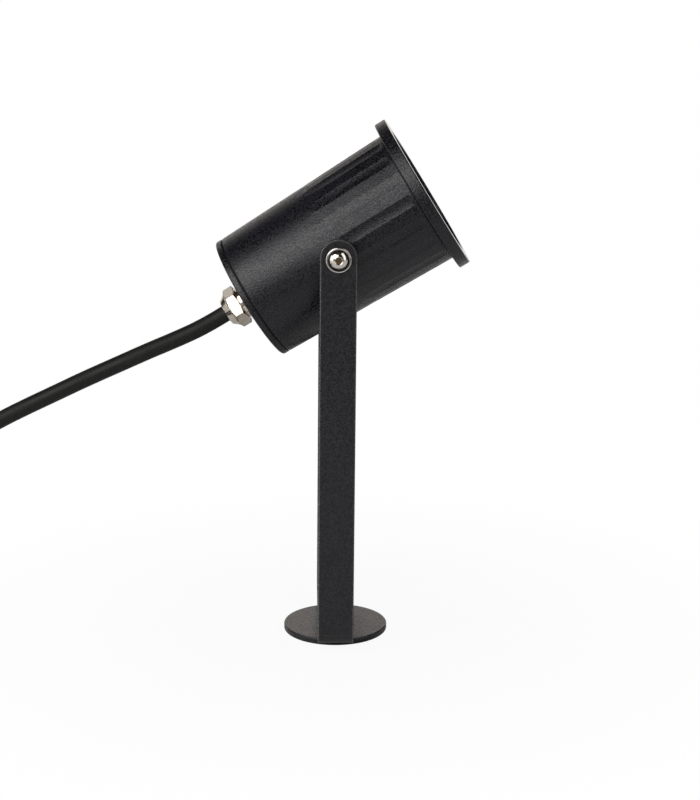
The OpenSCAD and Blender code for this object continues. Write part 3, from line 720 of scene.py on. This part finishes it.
def powder_coat(name, color, roughness, grain, depth, speckle, edge_wear_and_highlight, wear_and_highlight_r, smooth_from=None):
    """Black coat whose grains are lighter and darker than its colour by the share speckle, and
    whose sharp edges are painted lighter over wear_and_highlight_r by the share
    edge_wear_and_highlight, as rubbed wear and a painted highlight. From smooth_from on, along the
    head's axis, it is glossy and has hardly any grain."""
    coat = Finish(name, color, roughness)
    cloud = coat.noise(coat_cloud, 3)
    fine = coat.noise(grain, 2, sand_rough)
    pits = coat.noise(grain * pit_size, 1)
    light = tuple(c * (1 + speckle) for c in color)
    dark = tuple(c * (1 - speckle) for c in color)
    sand = coat.ramp(fine, *sand_span)
    grains = coat.mix(sand, dark, light)
    # Sharp edges are painted lighter: rubbed wear and a painted highlight.
    wear_and_highlight = coat.edges(wear_and_highlight_r, *wear_and_highlight_span) * edge_wear_and_highlight
    coat.coat_color(coat.mix(wear_and_highlight, grains, wear_and_highlight_color))
    gloss = roughness + cloud_gloss * (cloud - 0.5) + grain_gloss * speckle * (sand - 0.5)
    height = fine * (1 - pit_share) + pits * pit_share
    if smooth_from is not None:
        front = coat.along(head_way, pivot)
        grainy = coat.ramp(front, smooth_from - smooth_over, smooth_from, 1, smooth_grain)
        gloss = gloss * (smooth_gloss + (1 - smooth_gloss) * grainy)
        height = height * grainy
    coat.roughness(gloss)
    coat.bump(height, depth, edge_round)
    return coat


# What faces up on the foot is painted lighter in patches: dusty, and a painted sheen.
dust_and_sheen_facing = (0.7, 0.95)
dust_and_sheen_cloud = 5 * mm
dust_and_sheen_span = (0.2, 0.7)
dust_and_sheen_least = 0.75


def dust_and_sheen_top(coat, dust_and_sheen_color):
    """Paints what faces up lighter than the coat's own colour, in patches: partly dusty, partly a
    painted sheen.
    """
    under = coat.shader.inputs["Base Color"].links[0].from_socket
    facing = coat.axis(coat.node("ShaderNodeNewGeometry").outputs["True Normal"], "Z")
    patches = coat.ramp(coat.noise(dust_and_sheen_cloud, 3), *dust_and_sheen_span, dust_and_sheen_least, 1)
    dust_and_sheen_film = coat.ramp(facing, *dust_and_sheen_facing) * patches
    coat.coat_color(coat.mix(dust_and_sheen_film, Wire(coat, under), dust_and_sheen_color))


ring_face = reach("front_ring", head_way)[1]
head_black = (0.0055, 0.005, 0.0082)
yoke_black = (0.0082, 0.0078, 0.0102)
foot_black = (0.01, 0.01, 0.012)
# The lighter colour painted on the foot's top: dusty, and a painted sheen.
dust_and_sheen = (0.085, 0.074, 0.069)
head_look = dict(
    roughness=0.36, grain=0.8 * mm, depth=0.2 * mm, speckle=0.98, edge_wear_and_highlight=0.035, wear_and_highlight_r=edge_round,
)
plate_look = dict(grain=0.8 * mm, depth=0.06 * mm, speckle=0.7)
head_paint = powder_coat("textured_black_coat", head_black, **head_look)
ring_paint = powder_coat("ring_black_coat", head_black, **head_look, smooth_from=ring_face)
# The yoke's edges are painted light almost fully: mostly a painted highlight along the arm's edges,
# with some wear.
yoke_paint = powder_coat(
    "satin_black_coat", yoke_black, roughness=0.46, **plate_look, edge_wear_and_highlight=0.9, wear_and_highlight_r=0.9 * mm,
)
foot_paint = powder_coat(
    "foot_black_coat", foot_black, roughness=0.26, **plate_look, edge_wear_and_highlight=0.08, wear_and_highlight_r=edge_round,
)
# The foot's upward faces are painted lighter: patchy dust and a painted sheen.
dust_and_sheen_top(foot_paint, dust_and_sheen)
dress(head_paint, "housing_paint", "housing", "back_cover")
dress(ring_paint, "ring_paint", "front_ring")
dress(yoke_paint, "yoke_paint", "yoke_bracket")
dress(foot_paint, "foot_paint", "foot_plate")

# %% [markdown]
# ## Metals
# The gland is nickel-plated brass, barrel polished: bright, a little warm, with faint marks, and
# painted dark brown along the edges of its facets, a painted dark reflection. The pivot and cover
# screws are stainless steel, and the pivot screws get painted shade in the groove under the dome.
# The stem, its nut and the inner screws are zinc plated, which is duller and cloudy.

# %% Bright metals
noise_span = (0.3, 0.7)
metal_cloud = 3 * mm
lightest = 1.04
darkest = 0.9
dark_edge_span = (0.92, 0.998)
dark_edge_share = 0.95
smoothest = 0.7
roughest = 1.4


def turned_metal(name, color, roughness, mark, depth, edge=0.0, dark_edge_paint=None):
    metal = Finish(name, color, roughness, 1.0)
    cloud = metal.noise(metal_cloud, 3)
    marks = metal.noise(mark, 2)
    light = tuple(min(c * lightest, 1) for c in color)
    dark = tuple(c * darkest for c in color)
    plate = metal.mix(metal.ramp(cloud, *noise_span), dark, light)
    if dark_edge_paint:
        # The facets' edges are painted dark brown, a painted dark reflection.
        plate = metal.mix(metal.edges(edge, *dark_edge_span) * dark_edge_share, plate, dark_edge_paint)
    metal.coat_color(plate)
    wear = marks * 0.5 + cloud * 0.5
    metal.roughness(metal.ramp(wear, *noise_span, roughness * smoothest, roughness * roughest))
    metal.bump(marks, depth, edge)
    return metal


def screw_steel(name, color):
    """Polished steel with painted shade in the groove round the dome, and a browner, darker colour
    in the socket, both measured round the pivot.
    """
    steel = turned_metal(name, color, roughness=0.12, mark=0.2 * mm, depth=0.002 * mm)
    x = steel.axis(steel.place, "X") - pivot.x
    z = steel.axis(steel.place, "Z") - pivot.z
    out = steel.math("SQRT", x * x + z * z)
    # The groove is painted dark, a painted shade; the socket is painted browner.
    inside = steel.ramp(out, dome_r - groove / 2, dome_r)
    groove_shade = inside * steel.ramp(out, groove_r - groove / 4, groove_r, 1, 0)
    bore = steel.ramp(out, sink_r - groove / 2, sink_r, 1, 0)
    bright = steel.mix(bore, color, socket_brown)
    steel.coat_color(steel.mix(groove_shade, bright, painted_groove_shade))
    return steel


# The socket's browner colour, and the painted shade for the groove.
socket_brown = (0.42, 0.31, 0.2)
painted_groove_shade = (0.012, 0.011, 0.012)
# The dark brown painted along the gland's facet edges, a painted reflection.
painted_edge_dark = (0.035, 0.018, 0.008)
steel_color = (0.8, 0.76, 0.7)
nickel = turned_metal(
    "nickel_plate", (0.78, 0.7, 0.6), roughness=0.15, mark=0.3 * mm, depth=0.002 * mm,
    edge=0.8 * mm, dark_edge_paint=painted_edge_dark,
)
pivot_steel = screw_steel("stainless_groove_shade", steel_color)
stainless = turned_metal(
    "polished_stainless", steel_color, roughness=0.13, mark=0.2 * mm, depth=0.002 * mm,
)
zinc = turned_metal(
    "zinc_plate", (0.56, 0.57, 0.56), roughness=0.34, mark=0.25 * mm, depth=0.004 * mm,
)
brass = turned_metal(
    "bare_brass", (0.78, 0.57, 0.26), roughness=0.28, mark=0.2 * mm, depth=0.003 * mm,
)
tin = turned_metal(
    "tinned_copper", (0.74, 0.73, 0.7), roughness=0.26, mark=0.2 * mm, depth=0.003 * mm,
)
dress(nickel, "nickel_brass", "gland_body", "gland_nut", "gland_locknut")
dress(stainless, "stainless_screw", "pivot_screws", "cover_screws")
dress(pivot_steel, "stainless_screw", *pivot_screws)
dress(zinc, "zinc_steel", "hollow_stem", "spacer_washer", "stem_nut", "holder_plate", "plate_screws",
      "holder_screws", "earth_screw", "lamp_pins")
dress(brass, "bare_brass", "holder_contacts", "earth_tag")
dress(tin, "tinned_copper", *ferrules)

# %% [markdown]
# ## Rubber, nylon and the cores' covers
# The cable's sheath is matte black rubber with the dust-fine bloom that rubber has. Seals are
# the same kind of rubber, and the friction washers are dark fibre. The ties are nylon, which is
# smoother, and the cores' covers are soft plastic.

# %% Rubber and plastics
rubber_shine = 0.3
rubber_cloud = 14 * mm
rubber_gloss = 0.06
bloom_span = (0.35, 0.7)
bloom_light = 1.5
cloud_share = 0.6
plastic_cloud = 6 * mm
plastic_dark = 0.85
plastic_gloss = (-0.05, 0.08)
plastic_grain = 0.4 * mm
plastic_deep = 0.006 * mm


def soft_black(name, color, roughness, grain, depth):
    rubber = Finish(name, color, roughness, specular_ior_level=rubber_shine)
    cloud = rubber.noise(rubber_cloud, 4)
    grains = rubber.noise(grain, 2)
    bloom = tuple(c * bloom_light for c in color)
    bloomed = rubber.ramp(cloud * cloud_share + grains * (1 - cloud_share), *bloom_span)
    rubber.coat_color(rubber.mix(bloomed, color, bloom))
    rubber.roughness(
        rubber.ramp(cloud, *noise_span, roughness - rubber_gloss, roughness + rubber_gloss)
    )
    rubber.bump(grains, depth)
    return rubber


def soft_plastic(name, color, roughness=0.4):
    plastic = Finish(name, color, roughness)
    cloud = plastic.noise(plastic_cloud, 2)
    dark = tuple(c * plastic_dark for c in color)
    plastic.coat_color(plastic.mix(cloud, dark, color))
    ends = [roughness + change for change in plastic_gloss]
    plastic.roughness(plastic.ramp(cloud, *noise_span, *ends))
    plastic.bump(plastic.noise(plastic_grain, 1), plastic_deep)
    return plastic


sheath = soft_black(
    "rubber_sheath", (0.0065, 0.0065, 0.0055), roughness=0.55, grain=0.5 * mm, depth=0.012 * mm,
)
seal = soft_black(
    "seal_rubber", (0.009, 0.009, 0.009), roughness=0.65, grain=0.4 * mm, depth=0.01 * mm,
)
nylon = soft_black(
    "tie_nylon", (0.011, 0.011, 0.012), roughness=0.35, grain=0.3 * mm, depth=0.004 * mm,
)
fibre = soft_black(
    "dark_fibre", (0.02, 0.019, 0.018), roughness=0.7, grain=0.3 * mm, depth=0.01 * mm,
)
brown = soft_plastic("brown_cover", (0.13, 0.045, 0.018))
blue = soft_plastic("blue_cover", (0.02, 0.12, 0.42))
dress(sheath, "cable_rubber", cable)
dress(seal, "seal_rubber", "cover_gasket", "gland_seal", "glass_gasket", "ring_seal")
dress(nylon, "tie_nylon", "coil_ties", *tie_heads)
dress(fibre, "dark_fibre", "friction_washers")
dress(brown, "brown_core", tails["brown"], leads["brown"])
dress(blue, "blue_core", tails["blue"], leads["blue"])

# %% [markdown]
# The earth core's cover is moulded in two colours, green and yellow. On the bared end the
# yellow is on the side that faces +Y, and inside the head it is on the part nearer to the front.

# %% Green and yellow
earth_green = (0.04, 0.25, 0.05)
earth_yellow = (0.72, 0.6, 0.03)


def striped_cover(name, axis, middle):
    cover = soft_plastic(name, earth_green)
    stripe = cover.axis(cover.place, axis) > middle
    cover.coat_color(cover.mix(stripe, earth_green, earth_yellow))
    return cover


tail_middle = middle_of("core_earth_end")
lead_middle = middle_of("core_earth_inside")
dress(striped_cover("earth_cover_tail", "Y", tail_middle.y), "earth_core", tails["earth"])
dress(striped_cover("earth_cover_lead", "X", lead_middle.x), "earth_core", leads["earth"])

# %% [markdown]
# ## Lamp, lampholder and glass
# The lampholder is glazed ceramic. The reflector lamp has a white moulded body and a frosted
# lens. The front glass is clear and faintly green where it is thick.

# %% White pieces and glass
white_cloud = 8 * mm
white_dark = 0.94
white_gloss = 0.05
glass_cloud = 12 * mm
wiped = 0.012
smeared = 0.05
smear_span = (0.3, 0.75)


def moulded_white(name, color, roughness, grain, depth):
    white = Finish(name, color, roughness)
    cloud = white.noise(white_cloud, 3)
    dark = tuple(c * white_dark for c in color)
    white.coat_color(white.mix(white.ramp(cloud, *noise_span), dark, color))
    white.roughness(white.ramp(cloud, *noise_span, roughness - white_gloss, roughness + white_gloss))
    white.bump(white.noise(grain, 2), depth)
    return white


ceramic = moulded_white(
    "glazed_ceramic", (0.8, 0.77, 0.7), roughness=0.22, grain=1.2 * mm, depth=0.01 * mm,
)
lamp_white = moulded_white(
    "lamp_body_white", (0.72, 0.72, 0.7), roughness=0.4, grain=0.4 * mm, depth=0.008 * mm,
)
lens = moulded_white(
    "frosted_lens", (0.8, 0.79, 0.74), roughness=0.3, grain=0.3 * mm, depth=0.006 * mm,
)
dress(ceramic, "white_ceramic", "lampholder")
dress(lamp_white, "lamp_white", "lamp_body")
dress(lens, "lamp_lens", "lamp_lens")

glass = Finish("clear_glass", (0.93, 0.97, 0.955), wiped, transmission_weight=1.0, ior=1.5)
glass.roughness(glass.ramp(glass.noise(glass_cloud, 3), *smear_span, wiped, smeared))
dress(glass, "clear_glass", "front_glass")

# %% [markdown]
# ## What moves with what
# The cable is fixed in the gland, which tilts with the head, and it stays still from a point of
# its route about 84 mm above the ground. Here the bared cores, their ferrules and the tie heads go
# with the stand, the cores inside the head go with the head, and the cable's mesh is baked in place.

blend_start = head_point(stub_low)
for piece in [*tails.values(), *ferrules, *tie_heads]:
    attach(piece, "stand")
for piece in leads.values():
    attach(piece, "head")
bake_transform(cable)
head_point(gland_mouth)

# %% [markdown]
# ## Floor, background and light
# The photograph is a cut-out on white. The floor is a pale plane that still takes the object's
# shadow: round the foot it is a plain white with a small part of real, lit surface mixed in, and
# further out it turns plain white altogether, so that no horizon shows against the world.

# %% Floor
floor_low_y = -0.6
floor_high_y = 2.4
floor_half_x = 2.0
shadow_r = 0.03
white_r = 0.28
white_seen = 0.93
sweep_start_y = 0.1
sweep_end_y = 0.6
floor_grey = 0.86
nothing_selected()
bpy.ops.mesh.primitive_plane_add(size=1, location=(0, (floor_low_y + floor_high_y) / 2, 0))
floor = bpy.context.object
floor.name = "floor"
floor.scale = (2 * floor_half_x, floor_high_y - floor_low_y, 1)
bpy.ops.object.transform_apply(location=True, rotation=True, scale=True)

# %% Floor finish
floor_paint = Finish("pale_floor", (floor_grey,) * 3, roughness=0.8, specular_ior_level=0.0)
from_foot = Wire(floor_paint, floor_paint.node(
    "ShaderNodeVectorMath", {"operation": "LENGTH"}, Vector=floor_paint.place).outputs["Value"])
seen = floor_paint.ray("Camera", "Transmission")
glossy = floor_paint.ray("Glossy") * (1 - seen)
behind = floor_paint.ramp(floor_paint.axis(floor_paint.place, "Y"), sweep_start_y, sweep_end_y)
white_share = seen * floor_paint.ramp(from_foot, shadow_r, white_r, white_seen, 1) + glossy * behind
plain_white = floor_paint.node("ShaderNodeEmission")
floor_mix = floor_paint.node("ShaderNodeMixShader")
floor_paint.put(floor_mix.inputs[0], white_share)
floor_paint.put(floor_mix.inputs[1], floor_paint.shader.outputs[0])
floor_paint.put(floor_mix.inputs[2], plain_white.outputs[0])
floor_paint.put(floor_paint.nodes["Material Output"].inputs["Surface"], floor_mix.outputs[0])
floor.data.materials.append(floor_paint.material)

# %% [markdown]
# The world is plain white where the camera looks. For gloss it is the studio round the object:
# a white wall behind, up to about 25 degrees, and a dark room above and in front, which is what
# leaves the top and the belly of the head almost black in the photograph.

# %% World
room_level = 0.02
fill_level = 0.12
wall_color = (1, 0.95, 0.9)
wall_side = (0.6, 0.93)
wall_top = (0.3, 0.46)
world = bpy.data.worlds.new("studio")
bpy.context.scene.world = world
studio = Tree(world)
way = studio.node("ShaderNodeTexCoord").outputs["Generated"]
at_back = studio.ramp(studio.axis(way, "Y"), *wall_side)
wall = at_back * studio.ramp(studio.axis(way, "Z"), *wall_top, 1, 0)
seen = studio.ray("Camera", "Transmission")
glossy = studio.ray("Glossy") * (1 - seen)
other = 1 - seen - glossy
gloss_level = room_level + wall * (1 - room_level)
strength = seen + glossy * gloss_level + other * fill_level
background = studio.nodes["Background"]
studio.put(background.inputs["Strength"], strength)
studio.put(background.inputs["Color"], studio.mix(glossy, (1, 1, 1), wall_color))

# %% [markdown]
# Five soft lamps light the object. A wide softbox at the upper left in front gives the light band
# along the head and the white facet on the gland. A small one beside the camera lifts what faces
# it. One on each side is seen in the polished screw and along the edges of the arm, where a painted
# highlight adds to it, and a weak one behind shows in the gland's top facet. The camera doesn't
# see the lamps themselves.

# %% Lamps
middle = Vector((0, 0, 0.17))
lamp_away = 1.5


def softbox(name, turn, height, wide, high, radiance):
    """A rectangular lamp that looks at the object. Its place and size are angles, in degrees."""
    turn = math.radians(turn)
    height = math.radians(height)
    data = bpy.data.lights.new(name, "AREA")
    data.shape = "RECTANGLE"
    data.size = 2 * lamp_away * math.tan(math.radians(wide / 2))
    data.size_y = 2 * lamp_away * math.tan(math.radians(high / 2))
    data.energy = radiance * math.pi * data.size * data.size_y
    lamp = bpy.data.objects.new(name, data)
    bpy.context.scene.collection.objects.link(lamp)
    level = Vector((math.sin(turn), -math.cos(turn), 0))
    to_lamp = level * math.cos(height) + Vector((0, 0, math.sin(height)))
    lamp.location = middle + to_lamp * lamp_away
    lamp.rotation_euler = (-to_lamp).to_track_quat("-Z", "Y").to_euler()
    lamp.visible_camera = False
    print(name, round(data.energy, 1), "W")


softbox("key_softbox", turn=-35, height=31, wide=45, high=40, radiance=3.4)
softbox("front_softbox", turn=0, height=2.5, wide=22, high=22, radiance=0.4)
softbox("left_softbox", turn=-75, height=8, wide=40, high=50, radiance=1.4)
softbox("right_softbox", turn=64, height=28, wide=28, high=64, radiance=1.2)
softbox("back_softbox", turn=-148, height=30, wide=12, high=12, radiance=0.6)

bpy.context.scene.view_settings.view_transform = "Standard"
